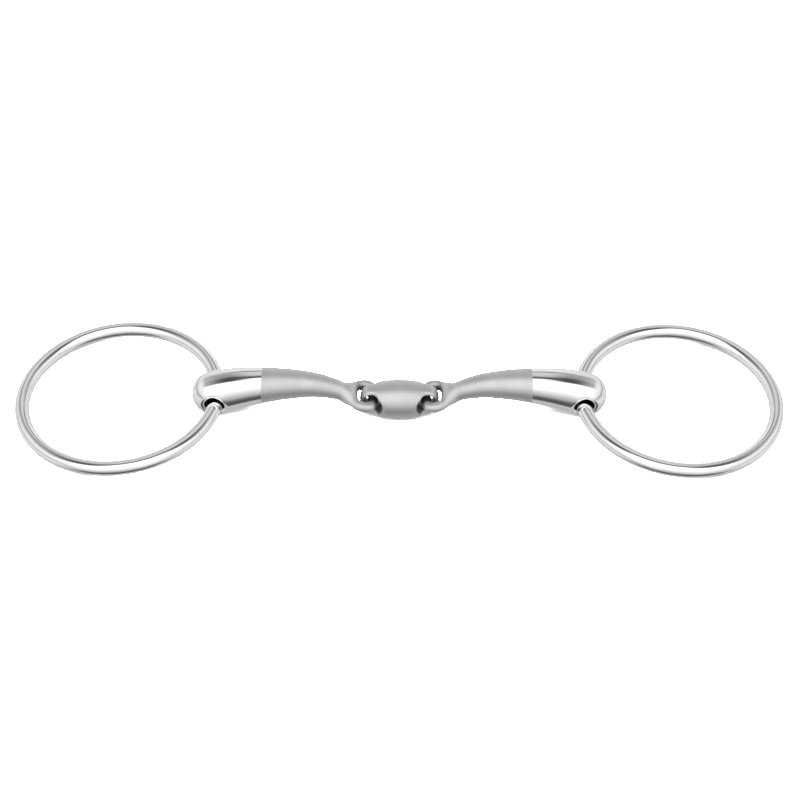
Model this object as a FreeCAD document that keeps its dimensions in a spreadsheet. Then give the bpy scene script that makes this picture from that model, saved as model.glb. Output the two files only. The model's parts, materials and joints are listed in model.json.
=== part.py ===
import FreeCAD, Part
import math
import os
import Sketcher

# Loose ring snaffle bit with two curved cannons and an olive centre link.
#
# The bit lies on a flat surface as it does on a bench: +X runs along the mouthpiece to its
# right end, +Y to the back, +Z up.  The origin is on that surface, midway between the rings.
# Lengths are millimetres and angles degrees.

SIZES = {
    # Rings: round rod bent to a circle, its ends butt welded and ground flush.
    "ring_outer_diameter": 70.0,
    "ring_wire_diameter": 5.0,
    # Outer end of a cannon, and the hole that the ring runs through.
    "end_diameter": 14.7,
    "end_ball_reach": 52.55,
    "hole_reach": 51.9,
    "hole_diameter": 6.2,
    "hole_land_length": 6.4,
    "ring_sit_down": 0.35,
    "ring_sit_in": 0.4,
    "ring_sit_back": 0.5,
    # The curved, evenly tapered bar between the ring hole and the neck.
    "arch_rise": 5.0,
    "arch_reach": 22.8,
    "outer_arch_radius": 66.5,
    "inner_arch_radius": 30.0,
    "neck_diameter": 6.1,
    "neck_reach": 9.4,
    # Flat loop at the inner end of a cannon.
    "loop_bar_diameter": 3.3,
    "loop_width": 13.6,
    "loop_reach": 8.2,
    "loop_tip_corner": 2.6,
    "loop_root_corner": 3.0,
    "loop_tilt": 5.0,
    # Olive shaped centre link with an upright eye at each end.
    "link_length": 26.2,
    "link_diameter": 13.0,
    "link_lift": 0.6,
    "link_crown_radius": 38.5,
    "link_corner_radius": 4.2,
    "link_tang_thickness": 5.0,
    "link_shoulder_reach": 7.6,
    "link_shoulder_radius": 2.2,
    "arm_groove_radius": 2.9,
    "eye_slot_start": 6.3,
    "eye_slot_width": 5.0,
    "eye_slot_height": 7.2,
    # How the pieces lie: the fold pivots, and the small swing of the cannons to the front.
    "pivot_reach": 8.7,
    "pivot_rise": 0.8,
    "cannon_swing": 2.5,
}

# Heights and places that follow from the sizes, as expressions on the sheet.
LINK_HEIGHT = "(Sizes.link_diameter / 2 + Sizes.link_lift)"
PIVOT_HEIGHT = f"({LINK_HEIGHT} + Sizes.pivot_rise)"
END_HEIGHT = "(Sizes.end_diameter / 2)"
WIRE_RADIUS = "(Sizes.ring_wire_diameter / 2)"
RING_RADIUS = "((Sizes.ring_outer_diameter - Sizes.ring_wire_diameter) / 2)"
END_RISE = f"({END_HEIGHT} - {PIVOT_HEIGHT})"
NECK_SLOPE = "asin((Sizes.arch_reach - Sizes.neck_reach) / Sizes.inner_arch_radius)"
NECK_RISE = f"(Sizes.arch_rise - Sizes.inner_arch_radius * (1 - cos({NECK_SLOPE})))"
RING_TILT = f"asin(({END_HEIGHT} - Sizes.ring_sit_down - {WIRE_RADIUS}) / (2 * {RING_RADIUS}))"
HOLE_X = "(Sizes.pivot_reach + Sizes.hole_reach * cos(Sizes.cannon_swing))"
RING_X = f"({HOLE_X} - Sizes.ring_sit_in + {RING_RADIUS} * cos({RING_TILT}))"
HOLE_Y = "(-Sizes.ring_sit_back)"
PIVOT_Y = f"({HOLE_Y} - Sizes.hole_reach * sin(Sizes.cannon_swing))"

SIDES = {"left": -1, "right": 1}


def make_sheet(document):
    """Write the driving dimensions into a spreadsheet, one named cell for each."""
    sheet = document.addObject("Spreadsheet::Sheet", "Sizes")
    for row, (alias, value) in enumerate(SIZES.items(), start=1):
        sheet.set(f"A{row}", alias)
        sheet.set(f"B{row}", str(value))
        sheet.setAlias(f"B{row}", alias)
    document.recompute()
    return sheet


def add_body(document, label):
    """Start a sub-part, whose label names its file."""
    body = document.addObject("PartDesign::Body", label)
    body.Label = label
    return body


def origin_plane(body, role):
    """Find one of the body's own origin planes."""
    for feature in body.Origin.OriginFeatures:
        if feature.Role == role:
            return feature
    raise ValueError(f"{body.Label} has no plane {role}")


def bind(feature, links):
    """Tie properties to expressions on the sheet."""
    for path, expression in links.items():
        feature.setExpression(path, expression)


def attach(feature, body, role):
    """Lay a sketch or a primitive on one of the body's own origin planes."""
    feature.AttachmentSupport = [(origin_plane(body, role), "")]
    feature.MapMode = "FlatFace"


def add_sketch(body, name, role):
    """Open a sketch on one of the body's own origin planes."""
    sketch = body.newObject("Sketcher::SketchObject", name)
    attach(sketch, body, role)
    return sketch


def add_driven(sketch, constraint, expression):
    """Add a dimension to a sketch and tie it to the sheet."""
    index = sketch.addConstraint(constraint)
    sketch.setExpression(f"Constraints[{index}]", expression)


def add_circle(sketch, radius, expression):
    """Draw a circle about the sketch's origin with its radius tied to the sheet."""
    circle = sketch.addGeometry(Part.Circle(FreeCAD.Vector(), FreeCAD.Vector(0, 0, 1), radius))
    sketch.addConstraint(Sketcher.Constraint("Coincident", circle, 3, -1, 1))
    add_driven(sketch, Sketcher.Constraint("Radius", circle, radius), expression)


def arc(centre, radius, start, end):
    """Arc about (x, y) from one angle to another, anticlockwise, in degrees."""
    circle = Part.Circle(FreeCAD.Vector(*centre, 0), FreeCAD.Vector(0, 0, 1), radius)
    return Part.ArcOfCircle(circle, math.radians(start), math.radians(end))


def line(start, end):
    """Straight edge between two (x, y) points."""
    return Part.LineSegment(FreeCAD.Vector(*start, 0), FreeCAD.Vector(*end, 0))


def make_ring(document, sheet, side):
    """A ring: a circle of wire turned about its own upright axis, then laid down."""
    body = add_body(document, f"{side}_ring")
    section = add_sketch(body, f"{side}_ring_section", "XZ_Plane")
    radius = (sheet.ring_outer_diameter - sheet.ring_wire_diameter) / 2
    wire = Part.Circle(FreeCAD.Vector(radius, 0, 0), FreeCAD.Vector(0, 0, 1), sheet.ring_wire_diameter / 2)
    circle = section.addGeometry(wire)
    section.addConstraint(Sketcher.Constraint("PointOnObject", circle, 3, -1))
    add_driven(section, Sketcher.Constraint("DistanceX", -1, 1, circle, 3, radius), RING_RADIUS)
    add_driven(section, Sketcher.Constraint("Radius", circle, wire.Radius), WIRE_RADIUS)
    turn = body.newObject("PartDesign::Revolution", f"{side}_ring_turn")
    turn.Profile = section
    turn.ReferenceAxis = (section, ["V_Axis"])
    turn.Angle = 360
    body.Placement.Rotation = FreeCAD.Rotation(FreeCAD.Vector(0, SIDES[side], 0), 1)
    bind(body, {
        "Placement.Base.x": f"{SIDES[side]} * {RING_X}",
        "Placement.Base.z": f"{WIRE_RADIUS} + {RING_RADIUS} * sin({RING_TILT})",
        "Placement.Rotation.Angle": RING_TILT,
    })
    return body


def add_bar_path(body, sheet):
    """Middle line of the bar: inner arch, outer arch and a short turn back into the end ball."""
    path = add_sketch(body, f"{body.Label}_bar_path", "XZ_Plane")
    end_rise = (sheet.end_diameter - sheet.link_diameter) / 2 - sheet.link_lift - sheet.pivot_rise
    inner, outer = sheet.inner_arch_radius, sheet.outer_arch_radius
    neck_slope = math.degrees(math.asin((sheet.arch_reach - sheet.neck_reach) / inner))
    run = sheet.end_ball_reach - sheet.arch_reach
    fall = sheet.arch_rise - end_rise
    slope = 2 * math.degrees(math.atan(fall / run))
    turn_back = run / math.sin(math.radians(slope)) - outer
    apex = (sheet.arch_reach, sheet.arch_rise)
    inner_arch = path.addGeometry(arc((apex[0], apex[1] - inner), inner, 90, 90 + neck_slope))
    outer_arch = path.addGeometry(arc((apex[0], apex[1] - outer), outer, 90 - slope, 90))
    end_centre = (sheet.end_ball_reach, end_rise + turn_back)
    end_turn = path.addGeometry(arc(end_centre, turn_back, 270 - slope, 270))
    path.addConstraint(Sketcher.Constraint("Tangent", inner_arch, 1, outer_arch, 2))
    path.addConstraint(Sketcher.Constraint("Tangent", outer_arch, 1, end_turn, 1))
    path.addConstraint(Sketcher.Constraint("Vertical", inner_arch, 1, inner_arch, 3))
    path.addConstraint(Sketcher.Constraint("Vertical", end_turn, 2, end_turn, 3))
    driven = (
        (Sketcher.Constraint("Radius", inner_arch, inner), "Sizes.inner_arch_radius"),
        (Sketcher.Constraint("Radius", outer_arch, outer), "Sizes.outer_arch_radius"),
        (Sketcher.Constraint("DistanceX", -1, 1, inner_arch, 1, apex[0]), "Sizes.arch_reach"),
        (Sketcher.Constraint("DistanceY", -1, 1, inner_arch, 1, apex[1]), "Sizes.arch_rise"),
        (Sketcher.Constraint("DistanceX", -1, 1, inner_arch, 2, sheet.neck_reach), "Sizes.neck_reach"),
        (Sketcher.Constraint("DistanceX", -1, 1, end_turn, 2, end_centre[0]), "Sizes.end_ball_reach"),
        (Sketcher.Constraint("DistanceY", -1, 1, end_turn, 2, end_rise), END_RISE),
    )
    for constraint, expression in driven:
        add_driven(path, constraint, expression)
    return path


def add_bar(body, sheet):
    """The curved bar, round all along, tapering evenly from the ring end to the neck."""
    path = add_bar_path(body, sheet)
    end_section = add_sketch(body, f"{body.Label}_end_section", "YZ_Plane")
    bind(end_section, {
        "AttachmentOffset.Base.y": END_RISE,
        "AttachmentOffset.Base.z": "Sizes.end_ball_reach",
    })
    add_circle(end_section, sheet.end_diameter / 2, "Sizes.end_diameter / 2")
    neck_section = add_sketch(body, f"{body.Label}_neck_section", "YZ_Plane")
    neck_section.AttachmentOffset.Rotation = FreeCAD.Rotation(FreeCAD.Vector(-1, 0, 0), 1)
    bind(neck_section, {
        "AttachmentOffset.Base.y": NECK_RISE,
        "AttachmentOffset.Base.z": "Sizes.neck_reach",
        "AttachmentOffset.Rotation.Angle": NECK_SLOPE,
    })
    add_circle(neck_section, sheet.neck_diameter / 2, "Sizes.neck_diameter / 2")
    bar = body.newObject("PartDesign::AdditivePipe", f"{body.Label}_bar")
    bar.Profile = end_section
    bar.Spine = path
    bar.Sections = [(neck_section, [""])]
    bar.Transformation = "Multisection"
    return bar


def add_ball(body, name, radius, x, z):
    """Round off an end of the bar with a ball centred on its middle line."""
    ball = body.newObject("PartDesign::AdditiveSphere", f"{body.Label}_{name}")
    attach(ball, body, "XY_Plane")
    bind(ball, {"Radius": radius, "AttachmentOffset.Base.x": x, "AttachmentOffset.Base.z": z})
    return ball


def add_loop(body, sheet):
    """Flat loop of round bar: a tip bar across the pivot and a rounded back in the neck."""
    path = add_sketch(body, f"{body.Label}_loop_path", "XY_Plane")
    path.AttachmentOffset.Rotation = FreeCAD.Rotation(FreeCAD.Vector(0, -1, 0), 1)
    bind(path, {"AttachmentOffset.Rotation.Angle": "Sizes.loop_tilt"})
    reach = sheet.loop_reach
    half = (sheet.loop_width - sheet.loop_bar_diameter) / 2
    tip, root = sheet.loop_tip_corner, sheet.loop_root_corner
    edges = (
        line((0, tip - half), (0, half - tip)),
        arc((tip, half - tip), tip, 90, 180),
        line((tip, half), (reach - root, half)),
        arc((reach - root, half - root), root, 0, 90),
        line((reach, half - root), (reach, root - half)),
        arc((reach - root, root - half), root, 270, 360),
        line((reach - root, -half), (tip, -half)),
        arc((tip, tip - half), tip, 180, 270),
    )
    for edge in edges:
        path.addGeometry(edge)
    tip_bar, left_arm, back_bar, right_arm = 0, 2, 4, 6
    corners = ((tip_bar, 2, 1, 2), (left_arm, 1, 1, 1), (left_arm, 2, 3, 2), (back_bar, 1, 3, 1),
               (back_bar, 2, 5, 2), (right_arm, 1, 5, 1), (right_arm, 2, 7, 2), (tip_bar, 1, 7, 1))
    for corner in corners:
        path.addConstraint(Sketcher.Constraint("Tangent", *corner))
    path.addConstraint(Sketcher.Constraint("Vertical", tip_bar))
    path.addConstraint(Sketcher.Constraint("PointOnObject", tip_bar, 1, -2))
    path.addConstraint(Sketcher.Constraint("Horizontal", left_arm))
    path.addConstraint(Sketcher.Constraint("Vertical", back_bar))
    path.addConstraint(Sketcher.Constraint("Equal", 3, 5))
    path.addConstraint(Sketcher.Constraint("Equal", 1, 7))
    path.addConstraint(Sketcher.Constraint("Symmetric", left_arm, 1, right_arm, 2, -1))
    half_width = "(Sizes.loop_width - Sizes.loop_bar_diameter) / 2"
    driven = (
        (Sketcher.Constraint("DistanceX", -1, 1, back_bar, 1, reach), "Sizes.loop_reach"),
        (Sketcher.Constraint("DistanceY", -1, 1, left_arm, 1, half), half_width),
        (Sketcher.Constraint("Radius", 1, tip), "Sizes.loop_tip_corner"),
        (Sketcher.Constraint("Radius", 3, root), "Sizes.loop_root_corner"),
    )
    for constraint, expression in driven:
        add_driven(path, constraint, expression)
    section = add_sketch(body, f"{body.Label}_loop_section", "XZ_Plane")
    add_circle(section, sheet.loop_bar_diameter / 2, "Sizes.loop_bar_diameter / 2")
    loop = body.newObject("PartDesign::AdditivePipe", f"{body.Label}_loop")
    loop.Profile = section
    loop.Spine = path
    return loop


def cut_ring_hole(body, sheet):
    """Bore the ring hole from front to back, with both mouths flared at 45 degrees."""
    profile = add_sketch(body, f"{body.Label}_hole_profile", "XY_Plane")
    bind(profile, {"AttachmentOffset.Base.x": "Sizes.hole_reach", "AttachmentOffset.Base.z": END_RISE})
    bore = sheet.hole_diameter / 2
    land = sheet.hole_land_length / 2
    past = sheet.end_diameter
    mouth = bore + past - land
    corners = ((0, -past), (mouth, -past), (bore, -land), (bore, land), (mouth, past), (0, past))
    for start, end in zip(corners, corners[1:] + corners[:1]):
        profile.addGeometry(line(start, end))
    for edge in range(len(corners)):
        following = (edge + 1) % len(corners)
        profile.addConstraint(Sketcher.Constraint("Coincident", edge, 2, following, 1))
    profile.addConstraint(Sketcher.Constraint("Horizontal", 0))
    profile.addConstraint(Sketcher.Constraint("Symmetric", 2, 1, 2, 2, -1))
    profile.addConstraint(Sketcher.Constraint("Symmetric", 0, 2, 3, 2, -1))
    profile.addConstraint(Sketcher.Constraint("PointOnObject", 0, 1, -2))
    profile.addConstraint(Sketcher.Constraint("PointOnObject", 5, 1, -2))
    profile.addConstraint(Sketcher.Constraint("Horizontal", 4))
    driven = (
        (Sketcher.Constraint("DistanceX", -1, 1, 2, 1, bore), "Sizes.hole_diameter / 2"),
        (Sketcher.Constraint("DistanceY", 2, 1, 2, 2, 2 * land), "Sizes.hole_land_length"),
        (Sketcher.Constraint("DistanceY", 0, 2, 2, 1, past - land),
         "Sizes.end_diameter - Sizes.hole_land_length / 2"),
        (Sketcher.Constraint("DistanceX", 2, 1, 0, 2, past - land),
         "Sizes.end_diameter - Sizes.hole_land_length / 2"),
    )
    for constraint, expression in driven:
        add_driven(profile, constraint, expression)
    bore_cut = body.newObject("PartDesign::Groove", f"{body.Label}_hole")
    bore_cut.Profile = profile
    bore_cut.ReferenceAxis = (profile, ["V_Axis"])
    bore_cut.Angle = 360
    return bore_cut


def make_cannon(document, sheet, side):
    """A cannon, drawn from its fold pivot outwards, then turned to its own side."""
    body = add_body(document, f"{side}_cannon")
    add_bar(body, sheet)
    add_ball(body, "end_ball", "Sizes.end_diameter / 2", "Sizes.end_ball_reach", END_RISE)
    add_ball(body, "neck_ball", "Sizes.neck_diameter / 2", "Sizes.neck_reach", NECK_RISE)
    add_loop(body, sheet)
    cut_ring_hole(body, sheet)
    turns = {"left": "180 - Sizes.cannon_swing", "right": "Sizes.cannon_swing"}
    body.Placement.Rotation = FreeCAD.Rotation(FreeCAD.Vector(0, 0, 1), 1)
    bind(body, {
        "Placement.Base.x": f"{SIDES[side]} * Sizes.pivot_reach",
        "Placement.Base.y": PIVOT_Y,
        "Placement.Base.z": PIVOT_HEIGHT,
        "Placement.Rotation.Angle": turns[side],
    })
    return body


def add_olive_half(body, sheet):
    """Right half of the olive: a crowned side, a round corner and a short flat tip, turned about X."""
    half = add_sketch(body, "olive_half", "XY_Plane")
    reach = sheet.link_length / 2
    top = sheet.link_diameter / 2
    crown, corner = sheet.link_crown_radius, sheet.link_corner_radius
    meet = math.asin((reach - corner) / (crown - corner))
    corner_height = top - crown + (crown - corner) * math.cos(meet)
    crown_arc = half.addGeometry(arc((0, top - crown), crown, 90 - math.degrees(meet), 90))
    corner_arc = half.addGeometry(arc((reach - corner, corner_height), corner, 0, 90 - math.degrees(meet)))
    tip_face = half.addGeometry(line((reach, corner_height), (reach, 0)))
    axis = half.addGeometry(line((reach, 0), (0, 0)))
    middle = half.addGeometry(line((0, 0), (0, top)))
    half.addConstraint(Sketcher.Constraint("Tangent", crown_arc, 1, corner_arc, 2))
    half.addConstraint(Sketcher.Constraint("Tangent", corner_arc, 1, tip_face, 1))
    half.addConstraint(Sketcher.Constraint("Coincident", tip_face, 2, axis, 1))
    half.addConstraint(Sketcher.Constraint("Coincident", axis, 2, middle, 1))
    half.addConstraint(Sketcher.Constraint("Coincident", middle, 2, crown_arc, 2))
    half.addConstraint(Sketcher.Constraint("Coincident", middle, 1, -1, 1))
    half.addConstraint(Sketcher.Constraint("Horizontal", axis))
    half.addConstraint(Sketcher.Constraint("Vertical", middle))
    half.addConstraint(Sketcher.Constraint("Vertical", tip_face))
    half.addConstraint(Sketcher.Constraint("PointOnObject", crown_arc, 3, -2))
    driven = (
        (Sketcher.Constraint("DistanceX", axis, 2, axis, 1, reach), "Sizes.link_length / 2"),
        (Sketcher.Constraint("DistanceY", middle, 1, middle, 2, top), "Sizes.link_diameter / 2"),
        (Sketcher.Constraint("Radius", crown_arc, crown), "Sizes.link_crown_radius"),
        (Sketcher.Constraint("Radius", corner_arc, corner), "Sizes.link_corner_radius"),
    )
    for constraint, expression in driven:
        add_driven(half, constraint, expression)
    olive = body.newObject("PartDesign::Revolution", "olive_turn")
    olive.Profile = half
    olive.ReferenceAxis = (half, ["H_Axis"])
    olive.Angle = 360
    return olive


def cut_shoulders(body, sheet):
    """Thin the end to a tang by cutting front and back, with a rounded step at each shoulder."""
    cuts = add_sketch(body, "shoulder_cuts", "XY_Plane")
    start = sheet.link_shoulder_reach
    turn = sheet.link_shoulder_radius
    past = sheet.link_length
    tang = sheet.link_tang_thickness / 2
    for sign in (1, -1):
        inner = sign * tang
        outer = sign * past
        turn_angles = (180, 270) if sign > 0 else (90, 180)
        face = cuts.addGeometry(line((start + turn, inner), (past, inner)))
        end = cuts.addGeometry(line((past, inner), (past, outer)))
        back = cuts.addGeometry(line((past, outer), (start, outer)))
        shoulder = cuts.addGeometry(line((start, outer), (start, inner + sign * turn)))
        corner = cuts.addGeometry(arc((start + turn, inner + sign * turn), turn, *turn_angles))
        shoulder_end, face_end = (1, 2) if sign > 0 else (2, 1)
        cuts.addConstraint(Sketcher.Constraint("Coincident", face, 2, end, 1))
        cuts.addConstraint(Sketcher.Constraint("Coincident", end, 2, back, 1))
        cuts.addConstraint(Sketcher.Constraint("Coincident", back, 2, shoulder, 1))
        cuts.addConstraint(Sketcher.Constraint("Tangent", shoulder, 2, corner, shoulder_end))
        cuts.addConstraint(Sketcher.Constraint("Tangent", corner, face_end, face, 1))
        cuts.addConstraint(Sketcher.Constraint("Horizontal", face))
        cuts.addConstraint(Sketcher.Constraint("Vertical", end))
        cuts.addConstraint(Sketcher.Constraint("Horizontal", back))
        cuts.addConstraint(Sketcher.Constraint("Vertical", shoulder))
        ends = (face, 1, -1, 1) if sign < 0 else (-1, 1, face, 1)
        corners = (back, 2, -1, 1) if sign < 0 else (-1, 1, back, 2)
        driven = (
            (Sketcher.Constraint("DistanceY", *ends, tang), "Sizes.link_tang_thickness / 2"),
            (Sketcher.Constraint("DistanceY", *corners, past), "Sizes.link_length"),
            (Sketcher.Constraint("DistanceX", -1, 1, shoulder, 1, start), "Sizes.link_shoulder_reach"),
            (Sketcher.Constraint("DistanceX", -1, 1, end, 1, past), "Sizes.link_length"),
            (Sketcher.Constraint("Radius", corner, turn), "Sizes.link_shoulder_radius"),
        )
        for constraint, expression in driven:
            add_driven(cuts, constraint, expression)
    shoulders = body.newObject("PartDesign::Pocket", "shoulders")
    shoulders.Profile = cuts
    shoulders.Type = "ThroughAll"
    shoulders.Midplane = True
    return shoulders


def cut_arm_grooves(body, sheet):
    """Let the arms of the cannon's loop into the shoulders: a round ended groove, front and back."""
    grooves = []
    radius = sheet.arm_groove_radius
    pivot = (sheet.pivot_reach, sheet.pivot_rise)
    past = sheet.link_length
    for place, sign in (("front", 1), ("back", -1)):
        outline = add_sketch(body, f"{place}_groove_outline", "XZ_Plane")
        outline.setExpression("AttachmentOffset.Base.z", f"{sign} * Sizes.link_tang_thickness / 2")
        round_end = outline.addGeometry(arc(pivot, radius, 90, 270))
        bottom = outline.addGeometry(line((pivot[0], pivot[1] - radius), (past, pivot[1] - radius)))
        mouth = outline.addGeometry(line((past, pivot[1] - radius), (past, pivot[1] + radius)))
        top = outline.addGeometry(line((past, pivot[1] + radius), (pivot[0], pivot[1] + radius)))
        outline.addConstraint(Sketcher.Constraint("Tangent", round_end, 2, bottom, 1))
        outline.addConstraint(Sketcher.Constraint("Coincident", bottom, 2, mouth, 1))
        outline.addConstraint(Sketcher.Constraint("Coincident", mouth, 2, top, 1))
        outline.addConstraint(Sketcher.Constraint("Tangent", top, 2, round_end, 1))
        outline.addConstraint(Sketcher.Constraint("Horizontal", bottom))
        outline.addConstraint(Sketcher.Constraint("Horizontal", top))
        outline.addConstraint(Sketcher.Constraint("Vertical", mouth))
        driven = (
            (Sketcher.Constraint("Radius", round_end, radius), "Sizes.arm_groove_radius"),
            (Sketcher.Constraint("DistanceX", -1, 1, round_end, 3, pivot[0]), "Sizes.pivot_reach"),
            (Sketcher.Constraint("DistanceY", -1, 1, round_end, 3, pivot[1]), "Sizes.pivot_rise"),
            (Sketcher.Constraint("DistanceX", -1, 1, mouth, 1, past), "Sizes.link_length"),
        )
        for constraint, expression in driven:
            add_driven(outline, constraint, expression)
        groove = body.newObject("PartDesign::Pocket", f"{place}_groove")
        groove.Profile = outline
        groove.Type = "ThroughAll"
        groove.Reversed = sign > 0
        grooves.append(groove)
    return grooves


def cut_eye(body, sheet):
    """Pierce the tang with an upright slot whose ends are full rounds."""
    slot = add_sketch(body, "eye_slot", "XZ_Plane")
    radius = sheet.eye_slot_width / 2
    centre = sheet.eye_slot_start + radius
    straight = sheet.eye_slot_height / 2 - radius
    top = slot.addGeometry(arc((centre, straight), radius, 0, 180))
    inner = slot.addGeometry(line((centre - radius, straight), (centre - radius, -straight)))
    bottom = slot.addGeometry(arc((centre, -straight), radius, 180, 360))
    outer = slot.addGeometry(line((centre + radius, -straight), (centre + radius, straight)))
    slot.addConstraint(Sketcher.Constraint("Tangent", top, 2, inner, 1))
    slot.addConstraint(Sketcher.Constraint("Tangent", inner, 2, bottom, 1))
    slot.addConstraint(Sketcher.Constraint("Tangent", bottom, 2, outer, 1))
    slot.addConstraint(Sketcher.Constraint("Tangent", outer, 2, top, 1))
    slot.addConstraint(Sketcher.Constraint("Vertical", inner))
    slot.addConstraint(Sketcher.Constraint("Symmetric", top, 3, bottom, 3, -1))
    driven = (
        (Sketcher.Constraint("DistanceX", -1, 1, inner, 1, centre - radius), "Sizes.eye_slot_start"),
        (Sketcher.Constraint("Radius", top, radius), "Sizes.eye_slot_width / 2"),
        (Sketcher.Constraint("DistanceY", bottom, 3, top, 3, 2 * straight),
         "Sizes.eye_slot_height - Sizes.eye_slot_width"),
    )
    for constraint, expression in driven:
        add_driven(slot, constraint, expression)
    eye = body.newObject("PartDesign::Pocket", "eye")
    eye.Profile = slot
    eye.Type = "ThroughAll"
    eye.Midplane = True
    return eye


def make_link(document, sheet):
    """The centre link: one end is cut, then mirrored to the other."""
    body = add_body(document, "centre_link")
    halves = [add_olive_half(body, sheet), cut_shoulders(body, sheet)]
    halves += cut_arm_grooves(body, sheet)
    halves.append(cut_eye(body, sheet))
    mirror = body.newObject("PartDesign::Mirrored", "both_ends")
    mirror.Originals = halves
    mirror.MirrorPlane = (origin_plane(body, "YZ_Plane"), [""])
    body.Tip = mirror
    bind(body, {"Placement.Base.y": PIVOT_Y, "Placement.Base.z": LINK_HEIGHT})
    return body


def check_and_write(document, bodies):
    """Refuse a failed feature or a bad solid, then write one STEP file for each sub-part."""
    for feature in document.Objects:
        if "Invalid" in feature.State or "Error" in feature.State:
            raise RuntimeError(f"{feature.Label} failed: {feature.State}")
    for body in bodies:
        if body.Shape.isNull() or not body.Shape.isValid() or len(body.Shape.Solids) != 1:
            raise RuntimeError(f"{body.Label} is not one valid solid")
    os.makedirs("parts", exist_ok=True)
    for body in bodies:
        body.Shape.exportStep(f"parts/{body.Label}.step")
        print(f"{body.Label}: {body.Shape.Volume:.0f} cubic mm")


def main():
    """Build the bit from the sheet and write its pieces."""
    document = FreeCAD.newDocument("snaffle_bit")
    sheet = make_sheet(document)
    bodies = [make_link(document, sheet)]
    for side in SIDES:
        bodies.append(make_cannon(document, sheet, side))
        bodies.append(make_ring(document, sheet, side))
    document.recompute()
    check_and_write(document, bodies)


main()
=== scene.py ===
import json
import math
from functools import partial
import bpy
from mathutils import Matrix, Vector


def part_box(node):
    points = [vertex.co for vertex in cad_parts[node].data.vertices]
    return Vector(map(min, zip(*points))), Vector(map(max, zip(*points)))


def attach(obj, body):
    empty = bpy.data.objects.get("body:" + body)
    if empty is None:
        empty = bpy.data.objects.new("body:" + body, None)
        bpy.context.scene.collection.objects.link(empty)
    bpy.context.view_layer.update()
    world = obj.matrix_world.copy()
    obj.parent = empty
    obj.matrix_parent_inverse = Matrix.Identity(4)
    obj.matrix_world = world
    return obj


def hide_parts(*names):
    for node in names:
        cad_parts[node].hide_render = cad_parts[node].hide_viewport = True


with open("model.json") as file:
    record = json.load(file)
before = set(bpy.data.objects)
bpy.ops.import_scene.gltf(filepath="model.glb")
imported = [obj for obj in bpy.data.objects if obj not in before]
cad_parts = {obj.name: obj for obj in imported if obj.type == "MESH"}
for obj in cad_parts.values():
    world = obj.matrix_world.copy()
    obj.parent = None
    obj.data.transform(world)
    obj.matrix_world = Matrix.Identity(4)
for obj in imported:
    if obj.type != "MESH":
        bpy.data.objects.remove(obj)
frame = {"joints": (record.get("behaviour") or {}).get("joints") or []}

from types import SimpleNamespace

import bpy
import numpy as np
from mathutils import Matrix, Vector

bl_info = {
    "name": "Loose ring snaffle bit",
    "version": (1, 0, 0),
    "blender": (4, 5, 0),
    "location": "View3D > Sidebar > Snaffle Bit",
    "description": "The pieces of a loose ring snaffle bit, in polished and satin steel",
    "category": "Mesh",
}

MM = 0.001
SIDES = ("left", "right")
JOINTS = {joint["name"]: joint for joint in frame["joints"]}
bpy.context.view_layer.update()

# Points along and round a ring, cells of the level surfaces, and the room left round each shape.
RING_STEPS, WIRE_STEPS = 640, 56
CANNON_CELL, LINK_CELL = 0.27 * MM, 0.2 * MM
ROOM = 0.6 * MM
# Share of a bar's length over which it widens evenly, before it eases off.
EASE_FROM = 0.8


def box_of(node):
    """Middle and half size of a CAD node at rest, in metres."""
    low, high = (np.array(corner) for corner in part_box(node))
    return (low + high) / 2, (high - low) / 2


# ---------------------------------------------------------------- meshes


def make_mesh(name, points, faces, normals=None):
    """Put points and quads into a smooth mesh object that sits at the origin."""
    mesh = bpy.data.meshes.new(name)
    mesh.vertices.add(len(points))
    mesh.vertices.foreach_set("co", points.astype(np.float32).ravel())
    mesh.loops.add(faces.size)
    mesh.loops.foreach_set("vertex_index", faces.astype(np.int32).ravel())
    mesh.polygons.add(len(faces))
    mesh.polygons.foreach_set("loop_start", np.arange(0, faces.size, 4, dtype=np.int32))
    mesh.polygons.foreach_set("use_smooth", np.ones(len(faces), bool))
    mesh.update(calc_edges=True)
    if mesh.validate():
        raise RuntimeError(f"{name} has faces that don't hold")
    if normals is not None:
        mesh.normals_split_custom_set_from_vertices(normals.astype(np.float32))
    piece = bpy.data.objects.new(name, mesh)
    bpy.context.scene.collection.objects.link(piece)
    return piece


def closed_grid(rows, columns):
    """Quads of a grid that closes on itself both ways.

    Point (i, j) has number i * columns + j, and each quad joins it to the next row and column,
    counted round.
    """
    i, j = np.meshgrid(np.arange(rows), np.arange(columns), indexing="ij")
    next_i, next_j = (i + 1) % rows, (j + 1) % columns
    corners = (i * columns + j, next_i * columns + j, next_i * columns + next_j, i * columns + next_j)
    return np.stack(corners, -1).reshape(-1, 4)


def ring_points(centre, tilt, radius, wire):
    """Points of a ring of wire: a circle carried round a circle.

    At turn u and angle v the point is (radius + wire cos v) (cos u, sin u, 0) + (0, 0, wire sin v),
    tilted about the Y axis and moved to its centre.
    """
    u = np.linspace(0, 2 * math.pi, RING_STEPS, endpoint=False)[:, None]
    v = np.linspace(0, 2 * math.pi, WIRE_STEPS, endpoint=False)[None, :]
    reach = radius + wire * np.cos(v)
    x, y, z = reach * np.cos(u), reach * np.sin(u), wire * np.sin(v) + 0 * u
    tilted = (x * math.cos(tilt) + z * math.sin(tilt), y, z * math.cos(tilt) - x * math.sin(tilt))
    return np.stack(tilted, -1).reshape(-1, 3) + centre


# ---------------------------------------------------------------- level surfaces


def grid_span(axis, steps):
    """Slices that take one corner's share of a grid: all of one axis, and a step along the others."""
    spans = [slice(None, -1), slice(1, None)]
    others = iter(steps)
    return tuple(slice(None) if a == axis else spans[next(others)] for a in range(3))


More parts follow.
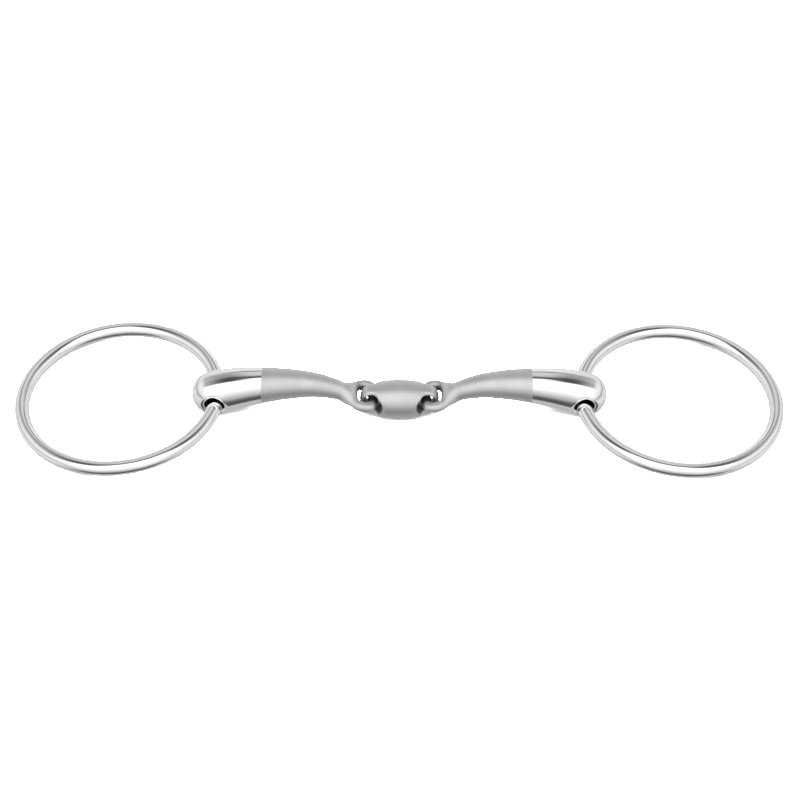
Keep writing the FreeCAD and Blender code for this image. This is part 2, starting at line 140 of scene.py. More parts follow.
def cell_points(values, low, cell):
    """One point for each cell that the surface passes through, and the number of each cell.

    The point is the mean of the places where the surface crosses the cell's edges, each found by
    straight interpolation between the values at the edge's two ends.
    """
    cells = tuple(n - 1 for n in values.shape)
    total = np.zeros((3,) + cells)
    count = np.zeros(cells)
    for axis in range(3):
        start = np.delete(values, -1, axis)
        stop = np.delete(values, 0, axis)
        crosses = (start < 0) != (stop < 0)
        place = np.indices(crosses.shape).astype(float)
        place[axis] += start / np.where(crosses, start - stop, np.inf)
        place *= crosses
        for steps in ((0, 0), (0, 1), (1, 0), (1, 1)):
            span = grid_span(axis, steps)
            count += crosses[span]
            total += place[(slice(None),) + span]
    used = count > 0
    number = np.full(cells, -1)
    number[used] = np.arange(used.sum())
    return np.array(low) + cell * (total[:, used] / count[used]).T, number


def cell_quads(values, number):
    """One quad round each grid edge that the surface crosses, wound so that it faces outwards.

    Its corners are the points of the four cells round the edge, anticlockwise about the edge's axis
    where the shape lies at the edge's start, and clockwise where it lies at its end.
    """
    quads = []
    for axis in range(3):
        turn = (axis, (axis + 1) % 3, (axis + 2) % 3)
        inside = np.transpose(values, turn)[:, 1:-1, 1:-1] < 0
        cells = np.transpose(number, turn)
        i, j, k = np.nonzero(inside[:-1] != inside[1:])
        around = (cells[i, j, k], cells[i, j + 1, k], cells[i, j + 1, k + 1], cells[i, j, k + 1])
        quad = np.stack(around, -1)
        backwards = ~inside[i, j, k]
        quad[backwards] = quad[backwards][:, ::-1]
        quads.append(quad)
    return np.concatenate(quads)


def slope_of(field, points, step=0.01 * MM):
    """How fast a field changes along each axis, from its values a small step to either side."""
    slopes = []
    for axis in range(3):
        shift = np.zeros(3)
        shift[axis] = step
        slopes.append((field(*(points + shift).T) - field(*(points - shift).T)) / (2 * step))
    return np.stack(slopes, -1)


def level_surface(field, low, high, cell):
    """Points, outward quads and normals of the closed surface on which a field is nought.

    The field is a function of x, y and z, negative inside the shape, worked out on a whole grid at
    once. Each cell that the surface passes through gives one point, and each point is then slid
    along the field's slope, by value / slope squared, until it lies on the surface. A shape that
    is pierced right through, and whose bars run together with fillets, is no function of two
    parameters, so it is worked out like this from three.
    """
    axes = [np.arange(a, b + cell, cell) for a, b in zip(low, high)]
    values = field(*np.meshgrid(*axes, indexing="ij"))
    points, number = cell_points(values, low, cell)
    quads = cell_quads(values, number)
    for _ in range(4):
        slope = slope_of(field, points)
        share = field(*points.T) / np.maximum((slope ** 2).sum(-1), 0.2)
        points = points - slope * np.clip(share, -cell, cell)[:, None]
    slope = slope_of(field, points)
    return points, quads, slope / np.linalg.norm(slope, axis=-1)[:, None]


def meet(first, second, fillet):
    """The space that is inside both shapes, its new edge rounded to a radius.

    It is the larger of the two distances a and b, but no more than minus the radius, plus the
    length of (radius + a, radius + b) with negative parts counted as nought.
    """
    corner = np.hypot(np.maximum(fillet + first, 0), np.maximum(fillet + second, 0))
    return np.minimum(-fillet, np.maximum(first, second)) + corner


def join(first, second, fillet):
    """The space that is inside either shape, the inner corner between them filled to a radius."""
    return -meet(-first, -second, fillet)


def take_away(shape, cutter, fillet):
    """The first shape without the second, its new edge rounded to a radius."""
    return meet(shape, -cutter, fillet)


# ---------------------------------------------------------------- the pieces' own formulas


def bar_distance(x, y, z, size):
    """Distance to a cannon's curved, tapering round bar, with a ball at each end.

    The middle line is two arcs in the plane y = 0: the inner arch from the neck up to the top, and
    the outer arch down from it to the end ball's centre. For each arc the nearest point is found by
    its angle about the arc's centre, held to the arc's own range. The distance is to that point,
    less a radius that grows with length from the neck's to the end ball's, evenly at first and
    easing off over the last fifth, and the lesser of the two is the bar.
    """
    run, fall = size.end_reach - size.arch_reach, size.arch_rise - size.end_rise
    outer_arch = (run ** 2 + fall ** 2) / (2 * fall)
    outer_turn = math.asin(run / outer_arch)
    neck_turn = math.asin((size.arch_reach - size.neck_reach) / size.inner_arch)
    inner_length = size.inner_arch * neck_turn
    length = inner_length + outer_arch * outer_turn
    away = []
    for radius, first, last in ((size.inner_arch, -neck_turn, 0), (outer_arch, 0, outer_turn)):
        centre_z = size.arch_rise - radius
        angle = np.clip(np.arctan2(x - size.arch_reach, z - centre_z), first, last)
        off_x = x - size.arch_reach - radius * np.sin(angle)
        off_z = z - centre_z - radius * np.cos(angle)
        share = (inner_length + radius * angle) / length
        eased = share - np.maximum(share - EASE_FROM, 0) ** 2 / (2 * (1 - EASE_FROM))
        grown = 2 * eased / (1 + EASE_FROM)
        thick = size.neck_radius + (size.end_radius - size.neck_radius) * grown
        away.append(np.sqrt(off_x ** 2 + y ** 2 + off_z ** 2) - thick)
    return np.minimum(*away)


def loop_distance(x, y, z, size):
    """Distance to a cannon's loop: a round bar along a rounded rectangle in a slightly tilted plane.

    In that plane the distance to the rounded rectangle is the distance to a rectangle smaller by
    the corner radius, less that radius; its two corners at the pivot are tighter than the two in
    the neck. The distance to the bar is the length of this with the height above the plane, less
    the bar's radius.
    """
    along = x * math.cos(size.loop_tilt) + z * math.sin(size.loop_tilt)
    above = z * math.cos(size.loop_tilt) - x * math.sin(size.loop_tilt)
    corner = np.where(along < size.loop_reach / 2, size.tip_corner, size.root_corner)
    past_end = np.abs(along - size.loop_reach / 2) - (size.loop_reach / 2 - corner)
    past_side = np.abs(y) - (size.loop_half_width - corner)
    outside = np.hypot(np.maximum(past_end, 0), np.maximum(past_side, 0))
    flat = outside + np.minimum(np.maximum(past_end, past_side), 0) - corner
    return np.hypot(flat, above) - size.loop_bar


def cannon_distance(x, y, z, size):
    """Distance to a whole cannon, from its pivot outwards along x.

    The bar and the loop run together with a fillet, and the ring hole is a cylinder bored through
    from front to back, its edges rounded to wide trumpet mouths.
    """
    body = join(bar_distance(x, y, z, size), loop_distance(x, y, z, size), size.neck_fillet)
    bore = np.hypot(x - size.hole_reach, z - size.end_rise) - size.hole_radius
    return take_away(body, bore, size.mouth_fillet)


def link_distance(x, y, z, size):
    """Distance to the centre link: an olive, let in and pierced at each end.

    The olive is a wide arc turned about x and met by two flat ends. Past each shoulder only a tang
    is left between front and back; a round recess about the pivot lets the cannon's arms in; and an
    upright slot goes through the tang from front to back.
    """
    side = np.abs(x)
    crown = np.hypot(x, np.hypot(y, z) - (size.radius - size.crown)) - size.crown
    olive = meet(crown, side - size.half_length, size.end_corner)
    off_tang = size.half_tang - np.abs(y)
    shoulder = meet(size.shoulder - side, off_tang, size.shoulder_fillet)
    about_pivot = np.hypot(side - size.pivot_reach, z - size.pivot_rise)
    recess = meet(about_pivot - size.recess, off_tang, size.floor_fillet)
    shape = take_away(olive, join(shoulder, recess, size.floor_fillet), size.rim)
    past_straight = np.maximum(np.abs(z - size.slot_rise) - size.slot_straight, 0)
    slot = np.hypot(side - size.slot_middle, past_straight) - size.slot_radius
    return take_away(shape, slot, size.slot_rim)


# ---------------------------------------------------------------- shader maths


class Maths:
    """A node socket that can be used in sums: each sign adds its own Math node."""

    def __init__(self, finish, socket):
        self.finish = finish
        self.socket = socket

    def _with(self, operation, first, second):
        node = self.finish.add("ShaderNodeMath", {"operation": operation}, {0: first, 1: second})
        return Maths(self.finish, node.outputs[0])

    def __add__(self, other):
        return self._with("ADD", self, other)

    def __radd__(self, other):
        return self._with("ADD", other, self)

    def __sub__(self, other):
        return self._with("SUBTRACT", self, other)

    def __rsub__(self, other):
        return self._with("SUBTRACT", other, self)

    def __mul__(self, other):
        return self._with("MULTIPLY", self, other)

    def __rmul__(self, other):
        return self._with("MULTIPLY", other, self)

    def __abs__(self):
        return self._with("ABSOLUTE", self, 0.0)


class Finish:
    """A node tree and the methods that add nodes to it."""

    def __init__(self, tree):
        self.tree = tree

    def add(self, kind, settings=None, sockets=None):
        """A node of a kind: its settings first, then the values or links of its sockets."""
        node = self.tree.nodes.new(kind)
        for key, value in (settings or {}).items():
            if key == "stops":
                self.set_stops(node.color_ramp, value)
            else:
                setattr(node, key, value)
        for key, value in (sockets or {}).items():
            self.put(node.inputs[key], value)
        return node

    def put(self, socket, value):
        """Set or link one socket."""
        if isinstance(value, Maths):
            value = value.socket
        if isinstance(value, bpy.types.NodeSocket):
            self.tree.links.new(value, socket)
        else:
            socket.default_value = value

    def set_stops(self, ramp, stops):
        """Give a ramp its grey stops, each a place and a brightness."""
        while len(ramp.elements) > 1:
            ramp.elements.remove(ramp.elements[-1])
        ramp.elements[0].position = stops[0][0]
        for place, _ in stops[1:]:
            ramp.elements.new(place)
        for element, (_, level) in zip(ramp.elements, stops):
            element.color = (level, level, level, 1)

    def place_from(self, centre, turn=0.0):
        """Object coordinates measured from a point, along axes turned about Z."""
        spot = self.add("ShaderNodeTexCoord").outputs["Object"]
        sockets = {"Vector": spot, "Location": tuple(centre), "Rotation": (0, 0, turn)}
        return self.add("ShaderNodeMapping", {"vector_type": "TEXTURE"}, sockets).outputs[0]

    def part_of(self, place, axis):
        """One coordinate of a place."""
        return Maths(self, self.add("ShaderNodeSeparateXYZ", None, {0: place}).outputs[axis])

    def length(self, first, second):
        """Length of a vector given by two coordinates."""
        flat = self.add("ShaderNodeCombineXYZ", None, {0: first, 1: second}).outputs[0]
        return Maths(self, self.add("ShaderNodeVectorMath", {"operation": "LENGTH"}, {0: flat}).outputs[1])

    def noise(self, place, per_metre, detail=2.0, rough=0.5):
        """Soft noise from 0 to 1, with so many patches to the metre."""
        sockets = {"Vector": place, "Scale": per_metre, "Detail": detail, "Roughness": rough}
        return Maths(self, self.add("ShaderNodeTexNoise", None, sockets).outputs[0])

    def fade(self, value, low, high):
        """0 below the low value, 1 above the high one, and smooth between them."""
        sockets = {"Value": value, "From Min": low, "From Max": high, "To Min": 0.0, "To Max": 1.0}
        node = self.add("ShaderNodeMapRange", {"interpolation_type": "SMOOTHSTEP"}, sockets)
        return Maths(self, node.outputs[0])

    def mix(self, share, first, second):
        """Mix two colours."""
        factor, first_colour, second_colour, colour_out = 0, 6, 7, 2
        sockets = {factor: share, first_colour: first, second_colour: second}
        return self.add("ShaderNodeMix", {"data_type": "RGBA"}, sockets).outputs[colour_out]

    def bump(self, strength, depth, height):
        """Normals of a fine relief, from its height from 0 to 1 and its depth in metres."""
        sockets = {"Strength": strength, "Distance": depth, "Height": height}
        return self.add("ShaderNodeBump", None, sockets).outputs[0]


def material_parts(name):
    """A new material, with its finish and its shader."""
    material = bpy.data.materials.new(name)
    material.use_nodes = True
    return material, Finish(material.node_tree), material.node_tree.nodes["Principled BSDF"]


def steel(name):
    """A new metal material, with its finish and its shader."""
    material, finish, shader = material_parts(name)
    shader.inputs["Metallic"].default_value = 1.0
    return material, finish, shader


def grey(value):
    """A colour socket's value for a grey with a trace of blue."""
    return (value, value, value * 1.01, 1.0)


# ---------------------------------------------------------------- sizes and colours


def length_property(name, description, default):
    """A length that a user may change, in metres."""
    return bpy.props.FloatProperty(
        name=name, description=description, default=default, unit="LENGTH", precision=5)


def factor_property(name, description, default):
    """A share from 0 to 1."""
    return bpy.props.FloatProperty(
        name=name, description=description, default=default, min=0.0, max=1.0, subtype="FACTOR")


class SnaffleRingSizes(bpy.types.PropertyGroup):
    """Driving size of the rings; their places come from the frame."""

    wire: length_property("Wire radius", "Half the thickness of the ring's round wire", 2.5 * MM)


class SnaffleCannonSizes(bpy.types.PropertyGroup):
    """Driving sizes of a cannon, from its pivot outwards."""

    end_radius: length_property("End radius", "Radius of the ball with the ring hole", 7.35 * MM)
    end_past_hole: length_property("End past hole", "From the hole's middle to the ball's", 0.65 * MM)
    hole_radius: length_property("Hole radius", "Radius of the ring hole", 3.1 * MM)
    mouth_fillet: length_property("Mouth rounding", "Radius that rounds the ring hole's edges", 1.7 * MM)
    arch_rise: length_property("Arch rise", "Height of the arch's top above the pivot", 5.0 * MM)
    arch_reach: length_property("Arch reach", "Distance of the arch's top from the pivot", 22.8 * MM)
    inner_arch: length_property("Inner arch radius", "Radius of the arch on the link side", 30.0 * MM)
    neck_radius: length_property("Neck radius", "Radius of the bar where it meets the loop", 3.05 * MM)
    neck_reach: length_property("Neck reach", "Distance of the neck from the pivot", 9.4 * MM)
    neck_fillet: length_property("Neck fillet", "Radius that runs the bar into its loop", 3.2 * MM)
    loop_bar: length_property("Loop bar radius", "Half the thickness of the loop's round bar", 1.75 * MM)
    loop_half_width: length_property("Loop half width", "From the middle to an arm's middle line", 5.2 * MM)
    loop_reach: length_property("Loop length", "Length of the loop's middle line", 7.5 * MM)
    tip_corner: length_property("Tip corner", "Radius of the loop's corners at the pivot", 2.6 * MM)
    root_corner: length_property("Root corner", "Radius of the loop's corners in the neck", 5.0 * MM)
    loop_tilt: bpy.props.FloatProperty(
        name="Loop tilt", description="Slope of the loop's plane, rising outwards",
        default=math.radians(8), subtype="ANGLE")


class SnaffleLinkSizes(bpy.types.PropertyGroup):
    """Driving sizes of the centre link; its length and thickness come from the frame."""

    crown: length_property("Crown radius", "Radius of the olive's long curve", 38.5 * MM)
    end_corner: length_property("End corner", "Radius of the olive's ends", 3.2 * MM)
    half_tang: length_property("Half tang", "Half the thickness of the tang", 2.5 * MM)
    shoulder: length_property("Shoulder", "Distance of the shoulder from the middle", 7.4 * MM)
    shoulder_fillet: length_property("Shoulder fillet", "Radius at the foot of the shoulder", 2.2 * MM)
    recess: length_property("Recess radius", "Radius of the recess for the cannon's arms", 3.0 * MM)
    floor_fillet: length_property("Floor fillet", "Radius at the foot of the recess", 0.9 * MM)
    rim: length_property("Rim rounding", "Radius that rounds the recess's outer edge", 0.9 * MM)
    slot_middle: length_property("Slot middle", "Distance of the slot's middle line", 8.8 * MM)
    slot_radius: length_property("Slot radius", "Half the slot's width", 2.5 * MM)
    slot_straight: length_property("Slot straight", "Half the straight length of the slot", 0.5 * MM)
    slot_rise: length_property("Slot rise", "Height of the slot's middle above the link's", 0.7 * MM)
    slot_rim: length_property("Slot rounding", "Radius that rounds the slot's edges", 0.8 * MM)


class SnaffleFinishes(bpy.types.PropertyGroup):
    """Brightness and gloss of the two steel finishes."""

    polished: factor_property("Polished brightness", "Brightness of the mirror polished steel", 0.92)
    polished_haze: factor_property("Polished haze", "Roughness of the mirror polished steel", 0.045)
    satin: factor_property("Satin brightness", "Brightness of the satin steel", 0.72)
    satin_haze: factor_property("Satin haze", "Roughness of the satin steel", 0.45)
    # Brightness of the painted shade inside the link's eyes and the cannons' loops.
    deep: factor_property("Eye brightness", "Brightness of the dull steel inside the eyes", 0.27)
    polish_left: length_property("Left polish reach", "From the left pivot to the polish", 36.4 * MM)
    polish_right: length_property("Right polish reach", "From the right pivot to the polish", 34.7 * MM)


class SnaffleStage(bpy.types.PropertyGroup):
    """Floor, light and camera."""

    floor_width: length_property("Floor width", "Width of the floor", 8.0)
    distance: length_property("Camera distance", "From the camera to the middle of the bit", 0.85)
    elevation: bpy.props.FloatProperty(
        name="Camera elevation", description="Angle of the camera above the floor",
        default=math.radians(44.96), subtype="ANGLE")
    roll: bpy.props.FloatProperty(
        name="Camera roll", description="Turn of the camera about its line of sight",
        default=math.radians(0.21), subtype="ANGLE")
    lens: bpy.props.FloatProperty(
        name="Lens", description="Focal length in millimetres on a 36 mm sensor",
        default=115.5, subtype="DISTANCE_CAMERA")
    surround: bpy.props.FloatProperty(
        name="Surround", description="Brightness of the white room",
        default=1.0, min=0.0, subtype="UNSIGNED")
    panel: bpy.props.FloatProperty(
        name="Panel power", description="Power of the overhead light panel", default=800.0, subtype="POWER")


GROUPS = {
    "snaffle_rings": SnaffleRingSizes,
    "snaffle_cannons": SnaffleCannonSizes,
    "snaffle_link": SnaffleLinkSizes,
    "snaffle_finishes": SnaffleFinishes,
    "snaffle_stage": SnaffleStage,
}


def sizes_of(group, **found):
    """A property group's values as plain numbers, with others that were found from the frame."""
    return SimpleNamespace(**{key: getattr(group, key) for key in group.__annotations__}, **found)


# ---------------------------------------------------------------- finishes


# Relief and patches of the finishes: how many to the metre, and how deep.
HAIR_LINES, HAIR_DEPTH = 5000, 0.01 * MM
BLAST_GRAIN, BLAST_DEPTH = 5200, 0.02 * MM
BLAST_CLOUDS = 130
RING_MARKS, CANNON_MARKS = 70, 90
EDGE_WANDER = 900
# Share of the brightness that is left where a patch is dull.
MARKED, CLOUDED = 0.95, 0.94


def hand_marks(finish, place, look, per_metre):
    """Colour of mirror polished steel, and how far it is smeared by hand marks."""
    smear = finish.fade(finish.noise(place, per_metre, 4, 0.6), 0.5, 0.75)
    return finish.mix(smear, grey(look.polished), grey(look.polished * MARKED)), smear


def polished_steel(name, look, centre):
    """Mirror polished steel: even, with faint hand marks and hair lines round a centre."""
    material, finish, shader = steel(name)
    place = finish.place_from(centre)
    colour, smear = hand_marks(finish, place, look, RING_MARKS)
    across = finish.length(finish.part_of(place, 0), finish.part_of(place, 1))
    lines_place = finish.add("ShaderNodeCombineXYZ", None, {0: across, 1: finish.part_of(place, 2)})
    lines = finish.noise(lines_place.outputs[0], HAIR_LINES, 2, 0.6)
    finish.put(shader.inputs["Base Color"], colour)
    finish.put(shader.inputs["Roughness"], look.polished_haze + 0.04 * smear + 0.02 * lines)
    finish.put(shader.inputs["Normal"], finish.bump(0.06, HAIR_DEPTH, lines))
    return material


def satin_parts(finish, place, look):
    """Colour, roughness and height of bead-blasted satin steel."""
    grain = finish.noise(place, BLAST_GRAIN, 3, 0.65)
    patch = finish.fade(finish.noise(place, BLAST_CLOUDS, 4, 0.6), 0.35, 0.7)
    colour = finish.mix(patch, grey(look.satin), grey(look.satin * CLOUDED))
    rough = look.satin_haze + 0.05 * patch + 0.05 * grain
    return colour, rough, grain


def satin_link(name, look, centre, size):
    """Satin steel for the link, with painted shade darkening its colour inside its eyes, and burnished
    where the loops rub in them.
    """
    material, finish, shader = steel(name)
    place = finish.place_from(centre)
    colour, rough, grain = satin_parts(finish, place, look)
    off_x = abs(finish.part_of(place, 0)) - size.slot_middle
    off_eye = finish.length(off_x, finish.part_of(place, 2) - size.slot_rise)
    rubbed = 1 - finish.fade(off_eye, 2.2 * MM, 3.4 * MM)
    # Painted shade: inside the eyes the colour is darkened to the eye brightness, standing in for the shade
    # there.
    inside = 1 - finish.fade(off_eye, 2.9 * MM, 3.9 * MM)
    finish.put(shader.inputs["Base Color"], finish.mix(inside, colour, grey(look.deep)))
    finish.put(shader.inputs["Roughness"], rough - 0.14 * rubbed)
    finish.put(shader.inputs["Normal"], finish.bump(0.25, BLAST_DEPTH, grain * (1 - 0.7 * rubbed)))
    return material


def cannon_steel(name, look, polish_reach, pivot, turn):
    """Satin steel near the link, with painted shade darkening its colour inside the loop, mirror polished
    from a clean edge outwards.
    """
    material, finish, shader = steel(name)
    place = finish.place_from(pivot, turn)
    reach = finish.part_of(place, 0)
    edge = reach + 0.25 * MM * (finish.noise(place, EDGE_WANDER, 2) - 0.5)
    shine = finish.fade(edge, polish_reach - 0.12 * MM, polish_reach + 0.12 * MM)
    colour, rough, grain = satin_parts(finish, place, look)
    bright, marks = hand_marks(finish, place, look, CANNON_MARKS)
    rubbed = 1 - finish.fade(reach, 0.5 * MM, 2.4 * MM)
    # Painted shade: inside the loop, across its width and out to its tip, the colour is darkened to the eye
    # brightness, standing in for the shade between the arms.
    shade_across = 1 - finish.fade(abs(finish.part_of(place, 1)), 3.0 * MM, 4.2 * MM)
    shade_along = 1 - finish.fade(reach, 4.6 * MM, 6.0 * MM)
    shaded_satin_colour = finish.mix(shade_across * shade_along, colour, grey(look.deep))
    satin_rough = rough - 0.12 * rubbed
    bright_rough = look.polished_haze + 0.035 * marks
    finish.put(shader.inputs["Base Color"], finish.mix(shine, shaded_satin_colour, bright))
    finish.put(shader.inputs["Roughness"], satin_rough * (1 - shine) + bright_rough * shine)
    finish.put(shader.inputs["Normal"], finish.bump(0.25, BLAST_DEPTH, grain * (1 - 0.97 * shine)))
    return material


def white_floor():
    """Matt white floor with a barely uneven tone."""
    material, finish, shader = material_parts("floor_white")
    shader.inputs["Specular IOR Level"].default_value = 0.0
    tone = finish.noise(finish.place_from((0, 0, 0)), 3, 2)
    finish.put(shader.inputs["Base Color"], finish.mix(tone, grey(0.93), grey(0.95)))
    shader.inputs["Roughness"].default_value = 1.0
    return material


# ---------------------------------------------------------------- operators


# Brightness of the surroundings, from straight down, by the back, over the top and by the front:
# first in the middle, then a little to either side, where a dark gap shows between the lights.
MIDDLE_STOPS = (
    (0.0, 0.55), (0.13, 0.66), (0.3, 0.88), (0.33, 0.8), (0.338, 0.22), (0.352, 0.3), (0.362, 0.7),
    (0.44, 0.62), (0.462, 0.2), (0.475, 0.08), (0.49, 0.12), (0.5, 1.25), (0.66, 1.2), (0.73, 0.75),
    (0.79, 0.42), (0.83, 0.12), (0.885, 0.07), (0.91, 0.55), (1.0, 0.5),
)
GAP_STOPS = (
    (0.0, 0.5), (0.13, 0.62), (0.3, 0.8), (0.335, 0.62), (0.35, 0.4), (0.42, 0.32), (0.45, 0.1),
    (0.51, 0.06), (0.525, 1.25), (0.66, 1.2), (0.73, 0.85), (0.79, 0.5), (0.83, 0.14), (0.885, 0.08),
    (0.91, 0.55), (1.0, 0.5),
)
# The same far to the sides, from straight down to straight up.
SIDE_STOPS = (
    (0.0, 0.6), (0.44, 0.85), (0.485, 0.7), (0.495, 0.22), (0.515, 0.2), (0.53, 0.7), (0.7, 0.95),
    (1.0, 0.95),
)
FLOOR_DROP = 0.05 * MM
PANEL_WIDTH, PANEL_DEPTH = 2.4, 2.0
PANEL_PLACE, PANEL_TILT = (0, -0.3, 1.4), math.radians(-12)
SENSOR = 36
SHIFT_X, SHIFT_Y = 0.0007, -0.0024


class SnafflePiece:
    """What every piece's operator shares."""

    bl_options = {"REGISTER", "UNDO"}

    def settle(self, piece, body, slot, material):
        """Give a piece its material and its CAD body; the slot argument is not used."""
        piece.data.materials.append(material)
        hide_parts(body)
        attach(piece, body)


class SNAFFLE_OT_rings(SnafflePiece, bpy.types.Operator):
    """Make the two rings of round polished wire"""

    bl_idname = "snaffle.rings"
    bl_label = "Rings"

    def execute(self, context):
        """Each ring takes its centre, size and tilt from its CAD node's box."""
        wire = context.scene.snaffle_rings.wire
        for side, sign in zip(SIDES, (-1, 1)):
            centre, half = box_of(f"{side}_ring")
            radius = half[1] - wire
            tilt = sign * math.asin((half[2] - wire) / radius)
            points = ring_points(centre, tilt, radius, wire)
            piece = make_mesh(f"{side}_ring_wire", points, closed_grid(RING_STEPS, WIRE_STEPS))
            material = polished_steel(f"{side}_ring_polish", context.scene.snaffle_finishes, centre)
            self.settle(piece, f"{side}_ring", "polished_steel", material)
        return {"FINISHED"}


class SNAFFLE_OT_cannons(SnafflePiece, bpy.types.Operator):
    """Make the two curved cannons with their loops and ring holes"""

    bl_idname = "snaffle.cannons"
    bl_label = "Cannons"

    def execute(self, context):
        """Each cannon runs from its fold joint's pivot to its ring joint's hole."""
        for side in SIDES:
            pivot = np.array(JOINTS[f"{side}_fold"]["pos_m"])
            hole = np.array(JOINTS[f"{side}_ring_swing"]["pos_m"])
            turn = math.atan2(hole[1] - pivot[1], hole[0] - pivot[0])
            group = context.scene.snaffle_cannons
            reach = math.hypot(*(hole - pivot)[:2])
            size = sizes_of(
                group, hole_reach=reach, end_reach=reach + group.end_past_hole, end_rise=hole[2] - pivot[2])
            width = size.end_radius + ROOM
            low = (-size.loop_bar - ROOM, -width, size.end_rise - width)
            high = (size.end_reach + width, width, size.arch_rise + width)
            field = partial(cannon_distance, size=size)
            points, quads, normals = level_surface(field, low, high, CANNON_CELL)
            spin = np.array(Matrix.Rotation(turn, 3, "Z"))
            piece = make_mesh(f"{side}_cannon_bar", points @ spin.T + pivot, quads, normals @ spin.T)
            look = context.scene.snaffle_finishes
            polish = getattr(look, f"polish_{side}")
            material = cannon_steel(f"{side}_cannon_finish", look, polish, pivot, turn)
            self.settle(piece, f"{side}_cannon", "cannon_steel", material)
        return {"FINISHED"}


class SNAFFLE_OT_link(SnafflePiece, bpy.types.Operator):
    """Make the olive shaped centre link with an eye at each end"""

    bl_idname = "snaffle.link"
    bl_label = "Centre link"

    def execute(self, context):
        """The link takes its length, thickness and place from its CAD node's box and the pivots."""
        centre, half = box_of("centre_link")
        pivot = np.array(JOINTS["right_fold"]["pos_m"]) - centre
        size = sizes_of(
            context.scene.snaffle_link, radius=half[2], half_length=half[0],
            pivot_reach=pivot[0], pivot_rise=pivot[2])
        room = half + ROOM
        field = partial(link_distance, size=size)
        points, quads, normals = level_surface(field, -room, room, LINK_CELL)
        piece = make_mesh("centre_link_olive", points + centre, quads, normals)
        material = satin_link("centre_link_finish", context.scene.snaffle_finishes, centre, size)
        self.settle(piece, "centre_link", "satin_steel", material)
        return {"FINISHED"}


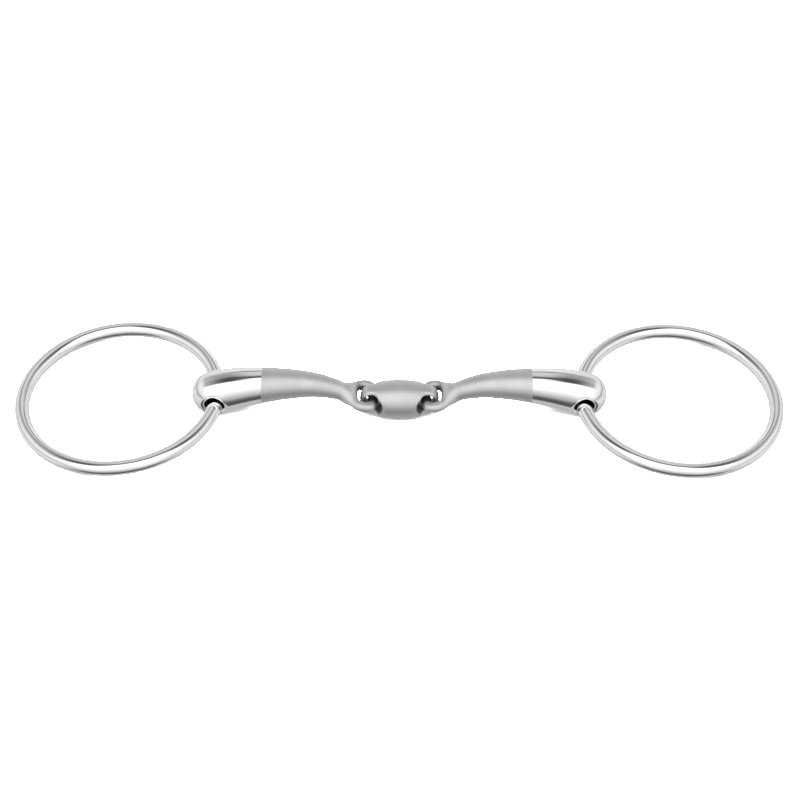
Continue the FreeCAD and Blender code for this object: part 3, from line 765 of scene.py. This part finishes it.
class SNAFFLE_OT_stage(bpy.types.Operator):
    """Lay the white floor, and set up the light and the camera"""

    bl_idname = "snaffle.stage"
    bl_label = "Stage"

    def execute(self, context):
        """Floor, room light, overhead panel and camera, in that order."""
        stage = context.scene.snaffle_stage
        self.lay_floor(stage)
        self.light_room(context.scene, stage)
        self.hang_panel(context.scene, stage)
        self.place_camera(context.scene, stage)
        context.scene.view_settings.view_transform = "Standard"
        return {"FINISHED"}

    def lay_floor(self, stage):
        """A square floor just under the bit, which the steel doesn't mirror."""
        half = stage.floor_width / 2
        corners = np.array([(-half, -half), (half, -half), (half, half), (-half, half)])
        points = np.column_stack([corners, np.full(4, -FLOOR_DROP)])
        floor = make_mesh("floor", points, np.array([[0, 1, 2, 3]]))
        floor.data.materials.append(white_floor())
        floor.visible_glossy = False

    def light_room(self, scene, stage):
        """Soft surroundings for the steel to mirror, and plain white straight to the eye.

        Over the middle they change with the angle from the back over the top (0.5) to the front,
        and towards the two sides with height alone.
        """
        world = bpy.data.worlds.new("studio")
        world.use_nodes = True
        scene.world = world
        finish = Finish(world.node_tree)
        back = world.node_tree.nodes["Background"]
        way = finish.add("ShaderNodeTexCoord").outputs["Generated"]
        across, depth, height = (finish.part_of(way, axis) for axis in range(3))
        angle = finish.add("ShaderNodeMath", {"operation": "ARCTAN2"}, {0: depth * -1, 1: height})
        share = Maths(finish, angle.outputs[0]) * (0.5 / math.pi) + 0.5
        middle = finish.add("ShaderNodeValToRGB", {"stops": MIDDLE_STOPS}, {0: share}).outputs[0]
        gap = finish.add("ShaderNodeValToRGB", {"stops": GAP_STOPS}, {0: share}).outputs[0]
        sides = finish.add("ShaderNodeValToRGB", {"stops": SIDE_STOPS}, {0: height * 0.5 + 0.5}).outputs[0]
        aside = abs(across)
        room = finish.mix(finish.fade(aside, 0.18, 0.36), middle, gap)
        room = finish.mix(finish.fade(aside, 0.42, 0.92), room, sides)
        seen = finish.add("ShaderNodeLightPath").outputs["Is Camera Ray"]
        finish.put(back.inputs["Color"], finish.mix(seen, room, grey(1.0)))
        back.inputs["Strength"].default_value = stage.surround

    def hang_panel(self, scene, stage):
        """A wide soft panel high over the bit, which lights the floor."""
        light = bpy.data.lights.new("panel", "AREA")
        light.shape, light.size, light.size_y = "RECTANGLE", PANEL_WIDTH, PANEL_DEPTH
        light.energy = stage.panel
        lamp = bpy.data.objects.new("panel", light)
        lamp.location = PANEL_PLACE
        lamp.rotation_euler = (PANEL_TILT, 0, 0)
        lamp.visible_glossy = False
        scene.collection.objects.link(lamp)

    def place_camera(self, scene, stage):
        """Camera on the middle plane, looking down at the middle of the rings."""
        camera = bpy.data.cameras.new("camera")
        camera.lens, camera.sensor_width = stage.lens, SENSOR
        camera.shift_x, camera.shift_y = SHIFT_X, SHIFT_Y
        camera.clip_start, camera.clip_end = 0.05, 50
        eye = bpy.data.objects.new("camera", camera)
        middle = Vector((0, 0, box_of("right_ring")[0][2]))
        back = Vector((0, -math.cos(stage.elevation), math.sin(stage.elevation)))
        look = Matrix.Rotation(math.pi / 2 - stage.elevation, 4, "X")
        look = look @ Matrix.Rotation(stage.roll, 4, "Z")
        eye.matrix_world = Matrix.Translation(middle + back * stage.distance) @ look
        scene.collection.objects.link(eye)
        scene.camera = eye


OPERATORS = (SNAFFLE_OT_rings, SNAFFLE_OT_cannons, SNAFFLE_OT_link, SNAFFLE_OT_stage)


class SNAFFLE_PT_pieces(bpy.types.Panel):
    """Sidebar panel with a button for each group of pieces and for the stage"""

    bl_idname = "SNAFFLE_PT_pieces"
    bl_label = "Snaffle Bit"
    bl_space_type = "VIEW_3D"
    bl_region_type = "UI"
    bl_category = "Snaffle Bit"

    def draw(self, context):
        """List the operators, then the sizes that they read."""
        for operator in OPERATORS:
            self.layout.operator(operator.bl_idname)
        for name in GROUPS:
            group = getattr(context.scene, name)
            box = self.layout.box()
            for key in group.__annotations__:
                box.prop(group, key)


def register():
    """Register the classes and hang the property groups on the scene."""
    for name, group in GROUPS.items():
        bpy.utils.register_class(group)
        setattr(bpy.types.Scene, name, bpy.props.PointerProperty(type=group))
    for kind in OPERATORS + (SNAFFLE_PT_pieces,):
        bpy.utils.register_class(kind)


def unregister():
    """Undo register."""
    for kind in reversed(OPERATORS + (SNAFFLE_PT_pieces,)):
        bpy.utils.unregister_class(kind)
    for name, group in reversed(GROUPS.items()):
        delattr(bpy.types.Scene, name)
        bpy.utils.unregister_class(group)


def main():
    """Make the pieces and the stage."""
    register()
    bpy.ops.snaffle.rings()
    bpy.ops.snaffle.cannons()
    bpy.ops.snaffle.link()
    bpy.ops.snaffle.stage()


if __name__ == "__main__":
    main()
